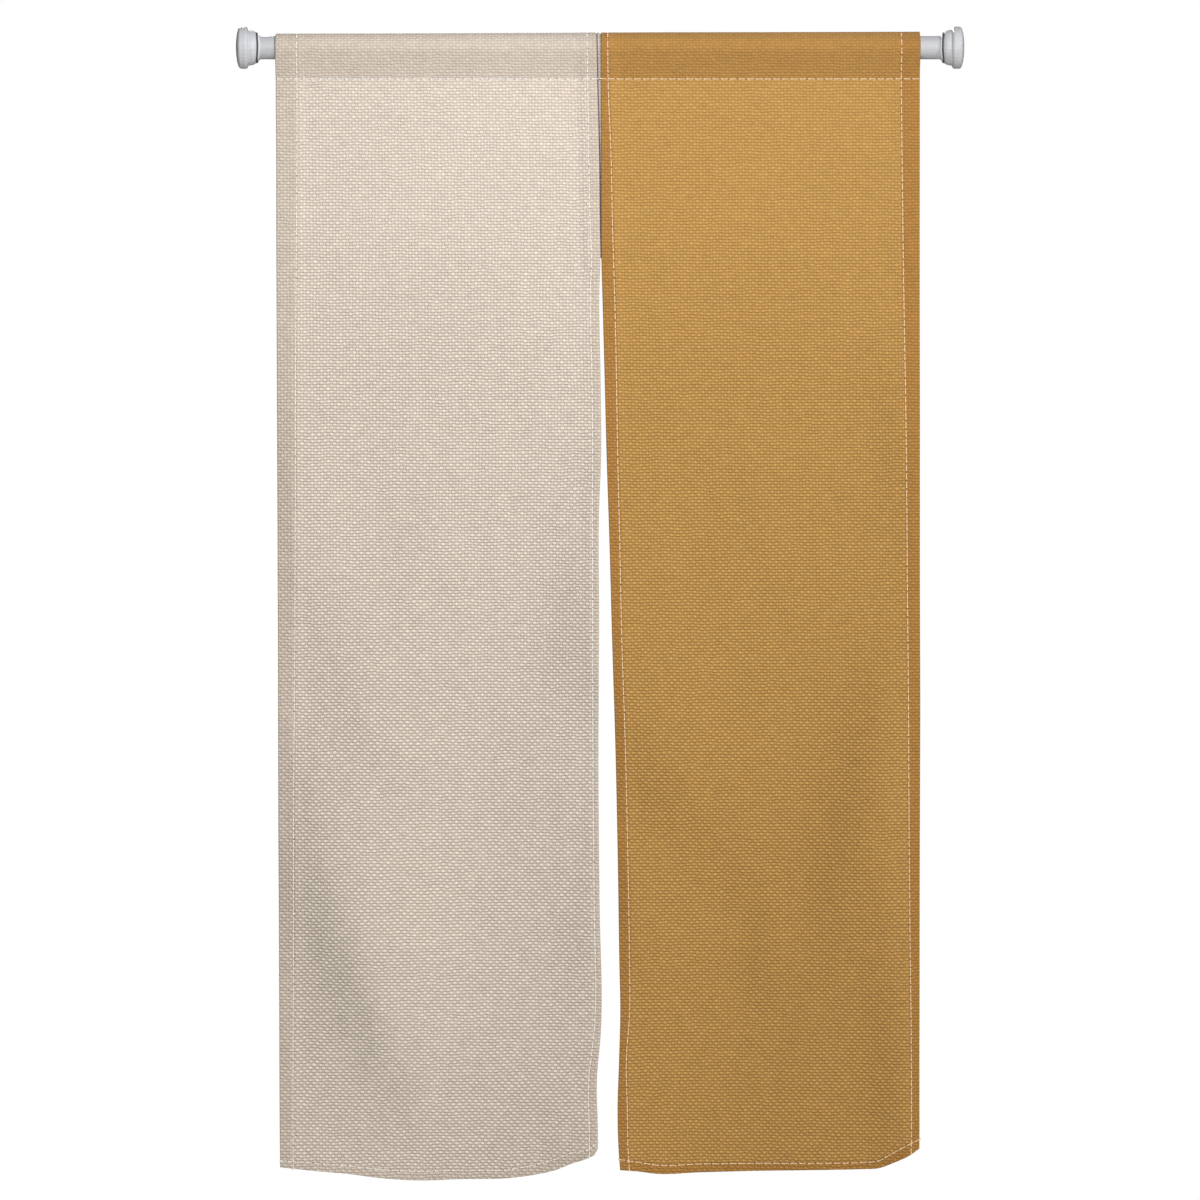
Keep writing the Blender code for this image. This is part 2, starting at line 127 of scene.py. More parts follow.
class Finish:
    """A material with a Principled shader, built up node by node."""

    def __init__(self, name, **constants):
        self.material = bpy.data.materials.new(name)
        self.material.use_nodes = True
        self.tree = self.material.node_tree
        self.shader = self.tree.nodes["Principled BSDF"]
        for socket, value in constants.items():
            self.set(socket.replace("_", " "), value)

    def put(self, socket, value):
        """Link or set one socket."""
        if isinstance(value, Wire):
            self.tree.links.new(value.socket, socket)
        else:
            socket.default_value = value

    def set(self, name, value):
        """Link or set one of the shader's sockets."""
        self.put(self.shader.inputs[name], value)

    def node(self, kind, settings, values):
        """Add a node: its settings first, then its sockets. Its outputs come back as wires by name."""
        made = self.tree.nodes.new(kind)
        for name, setting in settings.items():
            setattr(made, name, setting)
        for name, value in values.items():
            self.put(made.inputs[name], value)
        return {output.name: Wire(self, output) for output in made.outputs if output.enabled}

    def place(self):
        """The point on the piece, in metres."""
        return self.node("ShaderNodeTexCoord", {}, {})["Object"]

    def uv(self, name):
        """The piece's own flat measure, across and along, as two wires."""
        flat = self.node("ShaderNodeUVMap", {"uv_map": name}, {})["UV"]
        parts = self.node("ShaderNodeSeparateXYZ", {}, {"Vector": flat})
        return parts["X"], parts["Y"]

    def attribute(self, name):
        """A value that is kept on the piece's points."""
        return self.node("ShaderNodeAttribute", {"attribute_name": name}, {})["Fac"]

    def point(self, x, y, z=0.0):
        """A point from its three measures."""
        return self.node("ShaderNodeCombineXYZ", {}, {"X": x, "Y": y, "Z": z})["Vector"]

    def noise(self, at, scale, detail=2.0):
        """Soft noise from 0 to 1 about 0.5."""
        values = {"Vector": at, "Scale": scale, "Detail": detail}
        return self.node("ShaderNodeTexNoise", {}, values)["Fac"]

    def chance(self, x, y):
        """A random number from 0 to 1 for each pair of whole numbers."""
        settings = {"noise_dimensions": "2D"}
        return self.node("ShaderNodeTexWhiteNoise", settings, {"Vector": self.point(x, y)})["Value"]

    def stretched(self, at, along, across):
        """The same point with its measures scaled, so that noise runs in streaks."""
        return self.node(
            "ShaderNodeVectorMath", {"operation": "MULTIPLY"}, {0: at, 1: (along, across, across)}
        )["Vector"]

    def blend(self, share, first, second, kind="MIX"):
        """One colour turning into another. 6 and 7 are the Mix node's two colour sockets."""
        settings = {"data_type": "RGBA", "blend_type": kind}
        return self.node("ShaderNodeMix", settings, {0: share, 6: first, 7: second})["Result"]

    def shade(self, colour, strength):
        """A colour made lighter or darker by a number."""
        channels = {0: strength, 1: strength, 2: strength}
        grey = self.node("ShaderNodeCombineColor", {}, channels)["Color"]
        return self.blend(1.0, colour, grey, "MULTIPLY")

    def tint(self, share, shade, light):
        """Colour the whole piece, between a darker and a lighter screen colour."""
        self.set("Base Color", self.blend(share, linear(*shade), linear(*light)))

    def relief(self, height, depth):
        """Raise the surface by a height from 0 to 1, which the depth turns into metres."""
        values = {"Height": height, "Distance": depth, "Strength": 1.0}
        self.set("Normal", self.node("ShaderNodeBump", {}, values)["Normal"])


def coat(node_name, finish):
    """Give a carried-over solid its finish."""
    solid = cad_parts[node_name]
    solid.data.materials.clear()
    solid.data.materials.append(finish.material)


tube_finish = Finish("satin_grey_paint")
at = tube_finish.place()
streaks = tube_finish.noise(tube_finish.stretched(at, *TUBE_STREAKS), 1.0, 3.0)
tube_finish.tint(streaks, TUBE_SHADE, TUBE_GREY)
tube_finish.set("Roughness", streaks * TUBE_ROUGH[1] + TUBE_ROUGH[0])
tube_finish.relief(tube_finish.noise(at, PAINT_GRAIN), PAINT_RELIEF)
coat("rod_tube", tube_finish)

# The end caps
# A cap at each end of the tube, moulded in light grey plastic: a flat pad that presses on the
# jamb, and a stepped socket that the tube stands in.
CAP_GREY = (212, 213, 216)
CAP_SHADE = (182, 183, 187)
CAP_CLOUDS = 70.0
CAP_RINGS = (900.0, 25.0)
CAP_ROUGH = (0.36, 0.20)
CAP_GRAIN = 1500.0
CAP_RELIEF = 0.00004

cap_finish = Finish("moulded_grey_plastic")
at = cap_finish.place()
cloudy = cap_finish.noise(at, CAP_CLOUDS, 4.0)
rings = cap_finish.noise(cap_finish.stretched(at, *CAP_RINGS), 1.0)
cap_finish.tint(cloudy * 0.5 + rings * 0.5, CAP_SHADE, CAP_GREY)
cap_finish.set("Roughness", cloudy * CAP_ROUGH[1] + CAP_ROUGH[0])
cap_finish.relief(cap_finish.noise(at, CAP_GRAIN), CAP_RELIEF)
for side in ("left", "right"):
    coat(f"{side}_end_cap", cap_finish)

# The grip rings
# A dark rubber ring at the mouth of each socket, pushed over the tube against the cap. It keeps
# the tube from slipping in the socket.
RUBBER = (70, 71, 75)
RUBBER_WORN = (92, 93, 97)
RUBBER_GRAIN = 420.0
RUBBER_RELIEF = 0.00005

rubber_finish = Finish("dark_rubber", Roughness=0.68)
at = rubber_finish.place()
worn = rubber_finish.noise(at, RUBBER_GRAIN, 4.0)
rubber_finish.tint(worn, RUBBER, RUBBER_WORN)
rubber_finish.relief(worn, RUBBER_RELIEF)
for side in ("left", "right"):
    coat(f"{side}_grip_ring", rubber_finish)

# The collars
# A thin white plastic collar on the tube beside each grip ring, turned smooth. It is pushed over
# the tube against the ring, and keeps the ring in its place.
COLLAR_WHITE = (240, 240, 240)
COLLAR_SHADE = (226, 226, 228)
COLLAR_CLOUDS = 240.0
COLLAR_GRAIN = 1800.0
COLLAR_RELIEF = 0.00002

collar_finish = Finish("white_plastic", Roughness=0.4)
at = collar_finish.place()
clouds = collar_finish.noise(at, COLLAR_CLOUDS, 3.0)
collar_finish.tint(clouds, COLLAR_SHADE, COLLAR_WHITE)
collar_finish.relief(collar_finish.noise(at, COLLAR_GRAIN), COLLAR_RELIEF)
for side in ("left", "right"):
    coat(f"{side}_collar", collar_finish)

# The two panels
# Two lengths of the same coarse plain-woven cloth, one beige and one mustard. The sides and the
# bottom are turned once to the back and sewn, and the top is turned over into the rod pocket.
CLOTH = 0.0014
HEM_LAYER = 0.0010
STRIP_ROOM = 0.0016
TUBE_RADIUS = 0.01535
POCKET_DEPTH = 0.0414
POCKET_FLAP = 0.010
POCKET_ROOM = 0.0005
HALF_LAYER_GAP = 0.00015
HEM_EASE = 0.012
SEAM_END = -0.278
SEAM_FADE = 0.050
STRIP_TOP_EDGES = (0.4610, 0.4935)
STRIP_LOW_EDGES = (0.4640, 0.5005)
WAVE_TOP = -0.300
WAVE_FULL = -1.250
CURL_FULL = -1.470
CROWN_HALF_ANGLE = math.radians(45)
FOLD_STEPS = 16


class Section(NamedTuple):
    """A panel at one height: its side edges, and the widths of the hems beside them."""

    height: float
    left_edge: float
    left_hem: float
    right_hem: float
    right_edge: float


class Foot(NamedTuple):
    """A place along a panel's bottom edge: how low it hangs, and how deep its hem is."""

    across: float
    lowest: float
    hem: float


class Top(NamedTuple):
    """The height of the pocket's pressed top edge, above the rod's axis."""

    across: float
    height: float


class Fold(NamedTuple):
    """A soft ridge. Its crest runs down through three places, and its two flanks have their own widths."""

    top: tuple
    middle: tuple
    low: tuple
    left_flank: float
    right_flank: float
    rise: float


class Wave(NamedTuple):
    """The wide wave of a whole panel, which grows from the seam down to the hem."""

    reach: float
    length: float
    crest: float
    drift: float


class Curl(NamedTuple):
    """A bottom corner that swings forward."""

    corner_across: float
    width: float
    top_height: float
    reach: float


class Panel(NamedTuple):
    """All that shapes one panel. The strip lies behind its hem on the side that the sign gives."""

    sections: list
    feet: list
    tops: list
    folds: list
    wave: Wave
    curl: Curl
    strip_side: int
    flat_width: float


LEFT_PANEL = Panel(
    sections=[
        Section(0.020, 0.0516, 0.0280, 0.0125, 0.4749),
        Section(-0.042, 0.0515, 0.0280, 0.0127, 0.4761),
        Section(-0.148, 0.0522, 0.0272, 0.0138, 0.4788),
        Section(-0.240, 0.0523, 0.0266, 0.0128, 0.4798),
        Section(-0.275, 0.0524, 0.0262, 0.0120, 0.4805),
        Section(-0.320, 0.0526, 0.0257, 0.0120, 0.4790),
        Section(-0.439, 0.0531, 0.0247, 0.0115, 0.4806),
        Section(-0.545, 0.0536, 0.0240, 0.0112, 0.4812),
        Section(-0.610, 0.0539, 0.0236, 0.0090, 0.4787),
        Section(-0.756, 0.0544, 0.0225, 0.0087, 0.4786),
        Section(-0.967, 0.0552, 0.0206, 0.0073, 0.4778),
        Section(-1.126, 0.0559, 0.0195, 0.0073, 0.4792),
        Section(-1.300, 0.0565, 0.0182, 0.0090, 0.4809),
        Section(-1.365, 0.0567, 0.0178, 0.0110, 0.4757),
        Section(-1.430, 0.0571, 0.0175, 0.0115, 0.4771),
        Section(-1.500, 0.0578, 0.0172, 0.0100, 0.4760),
    ],
    feet=[
        Foot(0.0577, -1.4785, 0.0088),
        Foot(0.1046, -1.4834, 0.0100),
        Foot(0.1469, -1.4874, 0.0105),
        Foot(0.1892, -1.4930, 0.0115),
        Foot(0.2315, -1.4965, 0.0121),
        Foot(0.2949, -1.4951, 0.0120),
        Foot(0.3583, -1.4937, 0.0112),
        Foot(0.3900, -1.4895, 0.0130),
        Foot(0.4217, -1.4821, 0.0145),
        Foot(0.4428, -1.4731, 0.0140),
        Foot(0.4640, -1.4654, 0.0110),
        Foot(0.4735, -1.4590, 0.0110),
        Foot(0.4768, -1.4520, 0.0105),
    ],
    tops=[Top(0.050, 0.0186), Top(0.200, 0.0188), Top(0.380, 0.0195), Top(0.478, 0.0200)],
    folds=[
        Fold((0.0650, -0.780), (0.1800, -1.210), (0.3350, -1.540), 0.064, 0.150, 0.0235),
        Fold((0.0950, -0.600), (0.1400, -0.790), (0.2200, -0.970), 0.035, 0.090, 0.0032),
        Fold((0.1100, -0.800), (0.2150, -0.920), (0.3300, -1.030), 0.045, 0.100, 0.0042),
        Fold((0.5200, -0.400), (0.4750, -0.740), (0.4920, -0.900), 0.048, 0.030, 0.0145),
        Fold((0.4950, -0.980), (0.4680, -1.150), (0.4560, -1.330), 0.028, 0.060, 0.0055),
        Fold((0.0800, -0.280), (0.0800, -0.580), (0.0850, -0.860), 0.022, 0.060, 0.0055),
    ],
    wave=Wave(reach=0.0050, length=0.400, crest=0.190, drift=0.060),
    curl=Curl(corner_across=0.4770, width=0.085, top_height=-1.345, reach=0.008),
    strip_side=1,
    flat_width=0.427,
)

RIGHT_PANEL = Panel(
    sections=[
        Section(0.020, 0.4809, 0.0089, 0.0250, 0.9022),
        Section(-0.042, 0.4810, 0.0094, 0.0246, 0.9022),
        Section(-0.148, 0.4812, 0.0133, 0.0235, 0.9022),
        Section(-0.234, 0.4813, 0.0149, 0.0224, 0.9021),
        Section(-0.278, 0.4816, 0.0160, 0.0218, 0.9021),
        Section(-0.333, 0.4831, 0.0162, 0.0210, 0.9021),
        Section(-0.439, 0.4860, 0.0155, 0.0195, 0.9020),
        Section(-0.545, 0.4887, 0.0145, 0.0182, 0.9019),
        Section(-0.650, 0.4922, 0.0135, 0.0171, 0.9019),
        Section(-0.777, 0.4956, 0.0128, 0.0163, 0.9018),
        Section(-0.915, 0.4999, 0.0130, 0.0157, 0.9017),
        Section(-1.073, 0.5033, 0.0132, 0.0145, 0.9016),
        Section(-1.205, 0.5053, 0.0133, 0.0130, 0.9015),
        Section(-1.275, 0.5066, 0.0122, 0.0120, 0.9014),
        Section(-1.337, 0.5050, 0.0095, 0.0114, 0.9013),
        Section(-1.403, 0.5030, 0.0128, 0.0112, 0.9012),
        Section(-1.456, 0.5044, 0.0124, 0.0112, 0.9010),
        Section(-1.500, 0.5080, 0.0118, 0.0110, 0.9005),
    ],
    feet=[
        Foot(0.5070, -1.4825, 0.0141),
        Foot(0.5300, -1.4846, 0.0125),
        Foot(0.5512, -1.4877, 0.0118),
        Foot(0.6146, -1.4863, 0.0110),
        Foot(0.6992, -1.4838, 0.0100),
        Foot(0.7837, -1.4817, 0.0088),
        Foot(0.8260, -1.4807, 0.0090),
        Foot(0.8471, -1.4794, 0.0100),
        Foot(0.8682, -1.4712, 0.0140),
        Foot(0.8894, -1.4607, 0.0150),
        Foot(0.9008, -1.4530, 0.0125),
    ],
    tops=[Top(0.480, 0.0200), Top(0.520, 0.0202), Top(0.700, 0.0206), Top(0.904, 0.0212)],
    folds=[
        Fold((0.4700, -0.670), (0.5850, -0.940), (0.7400, -1.130), 0.060, 0.120, 0.0125),
        Fold((0.9150, -0.560), (0.8500, -0.985), (0.7600, -1.330), 0.056, 0.060, 0.0215),
        Fold((0.8780, -0.960), (0.8780, -1.300), (0.8820, -1.680), 0.040, 0.024, 0.0160),
        Fold((0.7220, -1.070), (0.7060, -1.180), (0.6940, -1.290), 0.024, 0.045, 0.0060),
        Fold((0.8820, -0.300), (0.8820, -0.520), (0.8860, -0.740), 0.036, 0.030, 0.0095),
        Fold((0.5150, -0.980), (0.5280, -1.130), (0.5280, -1.280), 0.022, 0.060, 0.0050),
    ],
    wave=Wave(reach=0.0060, length=0.360, crest=0.560, drift=0.080),
    curl=Curl(corner_across=0.9010, width=0.055, top_height=-1.330, reach=0.006),
    strip_side=-1,
    flat_width=0.425,
)

# How finely a panel is drawn, and the small give of the cloth at its sewing
PLAIN_COLUMNS = 78
DROP_ROWS = 262
ARC_STEPS = 36
LEG_ROWS = 9
HEM_COLUMNS = 4
FLAP_ROWS = 4
BOTTOM_HEM_ROWS = 3
ROUNDING = (math.radians(90), math.radians(60), math.radians(30), 0.0)
STITCH_OFFSETS = (-0.0018, -0.0009, 0.0, 0.0009, 0.0018)
BESIDE_STITCH = len(STITCH_OFFSETS) // 2
RAW_EDGE = (0.0026, 0.0034)
PINCH = 0.0028
GROOVE_DEPTH = 0.00045
GROOVE_HALF_WIDTH = 0.0011
BACK_GROOVE = 0.7
RIPPLE_DEPTH = 0.0011
RIPPLE_LENGTH = 0.055
RIPPLE_FULL = -0.6
RIPPLE_COARSE = (1.0, 0.6)
RIPPLE_FINE = (2.0, 1.4)
RIPPLE_FINE_SHARE = 0.4
# POCKET_DOUBLED is the share of the hems' painted shade that the doubled pocket takes.
POCKET_DOUBLED = 0.6
WELD_DISTANCE = 0.00001


def eased(value, start, end):
    """0 at start and 1 at end, with a soft step between them."""
    share = np.clip((value - start) / (end - start), 0, 1)
    return share * share * (3 - 2 * share)


def column(rows, name):
    """One named column of a table."""
    return np.array([getattr(row, name) for row in rows])


def along_curve(places, values, at):
    """Read a smooth curve through the table's values at other places."""
    order = np.argsort(places)
    places = places[order]
    values = values[order]
    slopes = np.gradient(values, places)
    first = np.clip(np.searchsorted(places, at) - 1, 0, len(places) - 2)
    step = places[first + 1] - places[first]
    t = np.clip((at - places[first]) / step, 0, 1)
    start = values[first] * (1 + 2 * t) * (1 - t) ** 2 + slopes[first] * step * t * (1 - t) ** 2
    end = values[first + 1] * t**2 * (3 - 2 * t) - slopes[first + 1] * step * t**2 * (1 - t)
    return start + end


def ridge(fold, across, height):
    """How far a fold lifts the cloth at each place. The fold fades out towards both its ends."""
    t = np.linspace(0, 1, FOLD_STEPS + 1)[:, None]
    top, middle, low = np.array(fold.top), np.array(fold.middle), np.array(fold.low)
    crest = top * (1 - t) * (1 - 2 * t) + middle * 4 * t * (1 - t) + low * t * (2 * t - 1)
    nearest = np.full(across.shape, np.inf)
    lift = np.zeros(across.shape)
    for step in range(FOLD_STEPS):
        run = crest[step + 1] - crest[step]
        off = np.stack([across - crest[step][0], height - crest[step][1]], axis=-1)
        share = np.clip(off @ run / (run @ run), 0, 1)
        apart = off - share[..., None] * run
        distance = np.linalg.norm(apart, axis=-1)
        to_right = apart[..., 0] * -run[1] + apart[..., 1] * run[0] > 0
        flank = np.where(to_right, fold.right_flank, fold.left_flank)
        fade = np.sin(math.pi * (step + share) / FOLD_STEPS) ** 2
        here = fold.rise * fade * np.exp(-((distance / flank) ** 2))
        lift = np.where(distance < nearest, here, lift)
        nearest = np.minimum(nearest, distance)
    return lift


def fold_depth(panel, across, height):
    """How far behind the flat hang of the panel the cloth lies at each place."""
    depth = np.zeros(across.shape)
    for fold in panel.folds:
        depth -= ridge(fold, across, height)
    wave = panel.wave
    turn = 2 * math.pi * (across - wave.crest - wave.drift * height) / wave.length
    depth -= wave.reach * eased(height, WAVE_TOP, WAVE_FULL) * np.cos(turn)
    curl = panel.curl
    beside = eased(across, curl.corner_across - curl.width, curl.corner_across)
    depth -= curl.reach * beside * eased(height, curl.top_height, CURL_FULL)
    return depth


def ripple(across, height):
    """The cloth's own unevenness, which fades out towards the joined stretch."""
    rough = []
    for x, z in np.column_stack([across.ravel(), height.ravel()]) / RIPPLE_LENGTH:
        coarse = noise.noise(Vector((x * RIPPLE_COARSE[0], z * RIPPLE_COARSE[1], 0.0)))
        fine = noise.noise(Vector((x * RIPPLE_FINE[0], z * RIPPLE_FINE[1], 5.0)))
        rough.append(coarse + RIPPLE_FINE_SHARE * fine)
    return RIPPLE_DEPTH * np.array(rough).reshape(across.shape) * eased(height, SEAM_END, RIPPLE_FULL)


class Grid(NamedTuple):
    """A sheet's points: its outer and inner side, its flat measure, its hems and its sewing lines.

    left_column and right_column are the columns that the side hems are sewn on, and the rows are
    those that the pocket and the bottom hem are sewn on.
    """

    outer: np.ndarray
    inner: np.ndarray
    flat_across: np.ndarray
    flat_along: np.ndarray
    hem: np.ndarray
    pull: np.ndarray
    left_column: int = 0
    right_column: int = 0
    pocket_rows: tuple = ()
    bottom_row: int = 0


def between(start, end, count):
    """Even places from a start to an end, which are left out."""
    shares = np.linspace(0, 1, count + 2)[1:-1]
    return [start * (1 - share) + end * share for share in shares]


def column_places(panel, height):
    """The columns' places across the panel at each height, and where its side hems are sewn."""
    heights = column(panel.sections, "height")
    edges = {}
    for name in ("left_edge", "left_hem", "right_hem", "right_edge"):
        edges[name] = along_curve(heights, column(panel.sections, name), height)
    half = (CLOTH + HEM_LAYER) / 2
    left = edges["left_edge"]
    left_sewn = left + edges["left_hem"]
    right = edges["right_edge"]
    right_sewn = right - edges["right_hem"]
    places = [left + half * (1 - math.sin(angle)) for angle in ROUNDING]
    places += between(left + half, left_sewn + STITCH_OFFSETS[0], HEM_COLUMNS)
    places += [left_sewn + offset for offset in STITCH_OFFSETS + RAW_EDGE]
    places += between(left_sewn + RAW_EDGE[1], right_sewn - RAW_EDGE[1], PLAIN_COLUMNS)
    places += [right_sewn - offset for offset in reversed(STITCH_OFFSETS + RAW_EDGE)]
    places += between(right_sewn - STITCH_OFFSETS[0], right - half, HEM_COLUMNS)
    places += [right - half * (1 - math.sin(angle)) for angle in reversed(ROUNDING)]
    return np.stack(places, axis=-1), left_sewn, right_sewn


def leg_heights(touch_height):
    """Heights from the flap's or drop's side of the stitching up to where the leg meets the rod's round."""
    start = -POCKET_DEPTH + STITCH_OFFSETS[-1]
    return start + (touch_height - start) * np.linspace(0, 1, LEG_ROWS + 2)[1:-1]


def cloth_line(radius, layer, crown, drop):
    """One warp thread's way: from the flap's end, up behind the rod and over it, then down the front.

    layer is how far each layer hangs from the rod's axis at the stitching, crown how far the
    cloth stands off on top of the rod, and drop the heights of the rows below the stitching. It
    gives the line's points, and the places in it that are sewn, behind and in front.
    """
    reach = math.hypot(layer, POCKET_DEPTH)
    from_below = math.acos(radius / reach) + math.atan2(layer, POCKET_DEPTH)
    side_angle = math.pi - from_below
    touch_height = radius * math.cos(side_angle)
    slope = (radius * math.sin(side_angle) - layer) / (touch_height + POCKET_DEPTH)

    def leg(heights):
        return layer + slope * PINCH * np.logaddexp(0, (heights + POCKET_DEPTH) / PINCH)

    flap = -POCKET_DEPTH - np.linspace(POCKET_FLAP, -STITCH_OFFSETS[0], FLAP_ROWS + 1)[:-1]
    sewn = -POCKET_DEPTH + np.array(STITCH_OFFSETS)
    back = np.concatenate([flap, sewn, leg_heights(touch_height)])
    angles = np.linspace(side_angle, -side_angle, ARC_STEPS + 1)
    raised = np.cos(np.minimum(abs(angles), CROWN_HALF_ANGLE) / CROWN_HALF_ANGLE * math.pi / 2) ** 2
    away = radius + crown * raised
    front = np.concatenate([leg_heights(touch_height)[::-1], sewn[::-1], drop])
    depths = np.concatenate([leg(back), away * np.sin(angles), -leg(front)])
    heights = np.concatenate([back, away * np.cos(angles), front])
    stitched = (len(flap) + BESIDE_STITCH, len(back) + len(angles) + LEG_ROWS + BESIDE_STITCH)
    return np.column_stack([depths, heights]), stitched


def sides_of(line):
    """For each point of a line, the unit step to its outer side: away from the rod, then to the front."""
    runs = np.gradient(line, axis=0)
    runs /= np.linalg.norm(runs, axis=1)[:, None]
    return np.column_stack([runs[:, 1], -runs[:, 0]])


def hang(panel):
    """Work out the points of one panel."""
    at_stitching, left_sewn, right_sewn = column_places(panel, np.float64(-POCKET_DEPTH))
    left_hem_at, right_hem_at = float(left_sewn), float(right_sewn)
    hems = eased(at_stitching, left_hem_at + HEM_EASE, left_hem_at + RAW_EDGE[1])
    hems += eased(at_stitching, right_hem_at - HEM_EASE, right_hem_at - RAW_EDGE[1])
    if panel.strip_side > 0:
        strip = eased(at_stitching, STRIP_TOP_EDGES[0] - HEM_EASE, STRIP_TOP_EDGES[0])
    else:
        strip = eased(at_stitching, STRIP_TOP_EDGES[1] + HEM_EASE, STRIP_TOP_EDGES[1])
    tops = along_curve(column(panel.tops, "across"), column(panel.tops, "height"), at_stitching)
    at_foot = column_places(panel, np.float64(panel.feet[0].lowest))[0]
    foot_places = column(panel.feet, "across")
    lowest = along_curve(foot_places, column(panel.feet, "lowest"), at_foot)
    bottom_hem = along_curve(foot_places, column(panel.feet, "hem"), at_foot)
    half = (CLOTH + HEM_LAYER) / 2

    columns = len(at_stitching)
    edge_round = np.ones(columns)
    edge_round[: len(ROUNDING)] = [math.cos(angle) for angle in ROUNDING]
    edge_round[-len(ROUNDING) :] = [math.cos(angle) for angle in reversed(ROUNDING)]
    sewn_column = len(ROUNDING) + HEM_COLUMNS + BESIDE_STITCH
    raw_column = sewn_column + BESIDE_STITCH + 1

    lines = []
    for place in range(columns):
        sewn = lowest[place] + bottom_hem[place]
        start = -POCKET_DEPTH + STITCH_OFFSETS[0]
        plain_rows = np.linspace(start, sewn + RAW_EDGE[1], DROP_ROWS + 1)[1:]
        raw_rows = [sewn + RAW_EDGE[0], *(sewn - offset for offset in STITCH_OFFSETS)]
        last_stitch = sewn + STITCH_OFFSETS[0]
        hem_rows = np.linspace(last_stitch, lowest[place] + half, BOTTOM_HEM_ROWS + 2)[1:-1]
        round_rows = [lowest[place] + half * (1 - math.sin(angle)) for angle in reversed(ROUNDING)]
        drop = np.concatenate([plain_rows, raw_rows, hem_rows, round_rows])
        layer = CLOTH / 2 + HEM_LAYER * hems[place] + STRIP_ROOM * strip[place] + HALF_LAYER_GAP
        radius = TUBE_RADIUS + POCKET_ROOM + HEM_LAYER + CLOTH / 2 + STRIP_ROOM * strip[place]
        crown = max(tops[place] - radius - CLOTH / 2, 0)
        line, stitched = cloth_line(radius, layer, crown, drop)
        hanging = len(line) - len(drop)
        fading = 1 - eased(line[:, 1], SEAM_END - SEAM_FADE, SEAM_END)
        line[hanging:, 0] += (STRIP_ROOM * strip[place] * fading)[hanging:]
        lines.append(line)
    lines = np.stack(lines, axis=1)
    rows = len(lines)
    bottom_row = rows - len(ROUNDING) - BOTTOM_HEM_ROWS - BESIDE_STITCH - 1

    heights = lines[:, :, 1]
    across = np.empty((rows, columns))
    for place in range(columns):
        across[:, place] = column_places(panel, heights[:, place])[0][:, place]
    edge_left = across[:, :1]
    edge_right = across[:, -1:]
    flat_across = (across - edge_left) / (edge_right - edge_left) * panel.flat_width
    steps = np.linalg.norm(np.diff(lines, axis=0), axis=2)
    flat_along = np.vstack([np.zeros((1, columns)), np.cumsum(steps, axis=0)])
    flat_along -= flat_along[stitched[1]]

    in_drop = (np.arange(rows) >= hanging)[:, None]
    depth = np.where(in_drop, fold_depth(panel, across, heights) + ripple(across, heights), 0)

    bottom_round = np.ones(rows)
    bottom_round[-len(ROUNDING) :] = [math.cos(angle) for angle in reversed(ROUNDING)]
    bottom_round[0] = 0
    rounding = edge_round[None, :] * bottom_round[:, None]

    numbers = np.arange(columns)
    in_side_hem = (numbers < raw_column) | (numbers >= columns - raw_column)
    in_bottom_hem = np.arange(rows) >= bottom_row - BESIDE_STITCH - 1
    extra = np.where(in_side_hem[None, :] | in_bottom_hem[:, None], HEM_LAYER, 0.0)

    sewing = np.zeros((rows, columns))
    for centre, size, axis in (
        (sewn_column, columns, 1),
        (columns - 1 - sewn_column, columns, 1),
        (stitched[0], rows, 0),
        (stitched[1], rows, 0),
        (bottom_row, rows, 0),
    ):
        pull = np.zeros(size)
        for step, offset in enumerate(STITCH_OFFSETS):
            pull[centre + step - BESIDE_STITCH] = math.exp(-((offset / GROOVE_HALF_WIDTH) ** 2))
        sewing = np.maximum(sewing, pull[None, :] if axis else pull[:, None])

    outer = np.empty((rows, columns, 3))
    inner = np.empty((rows, columns, 3))
    for place in range(columns):
        step = sides_of(lines[:, place])
        groove = GROOVE_DEPTH * sewing[:, place]
        above = CLOTH / 2 - groove
        below = CLOTH / 2 + extra[:, place] - groove * BACK_GROOVE
        middle = (above - below) / 2
        thick = (above + below) / 2 * rounding[:, place]
        front = lines[:, place] + step * (middle + thick)[:, None]
        back = lines[:, place] + step * (middle - thick)[:, None]
        for side, kept in ((front, outer), (back, inner)):
            deep = side[:, 0] + depth[:, place]
            kept[:, place] = np.column_stack([across[:, place], deep, side[:, 1]])
    in_pocket = np.arange(rows)[:, None] <= stitched[1]
    hem = np.maximum(np.where(extra > 0, 1.0, 0.0), np.where(in_pocket, POCKET_DOUBLED, 0.0))
    sewn_columns = (sewn_column, columns - 1 - sewn_column)
    return Grid(outer, inner, flat_across, flat_along, hem, sewing, *sewn_columns, stitched, bottom_row)


def put_in_scene(name, data):
    """Make an object of a mesh, a light or a camera."""
    made = bpy.data.objects.new(name, data)
    bpy.context.collection.objects.link(made)
    return made


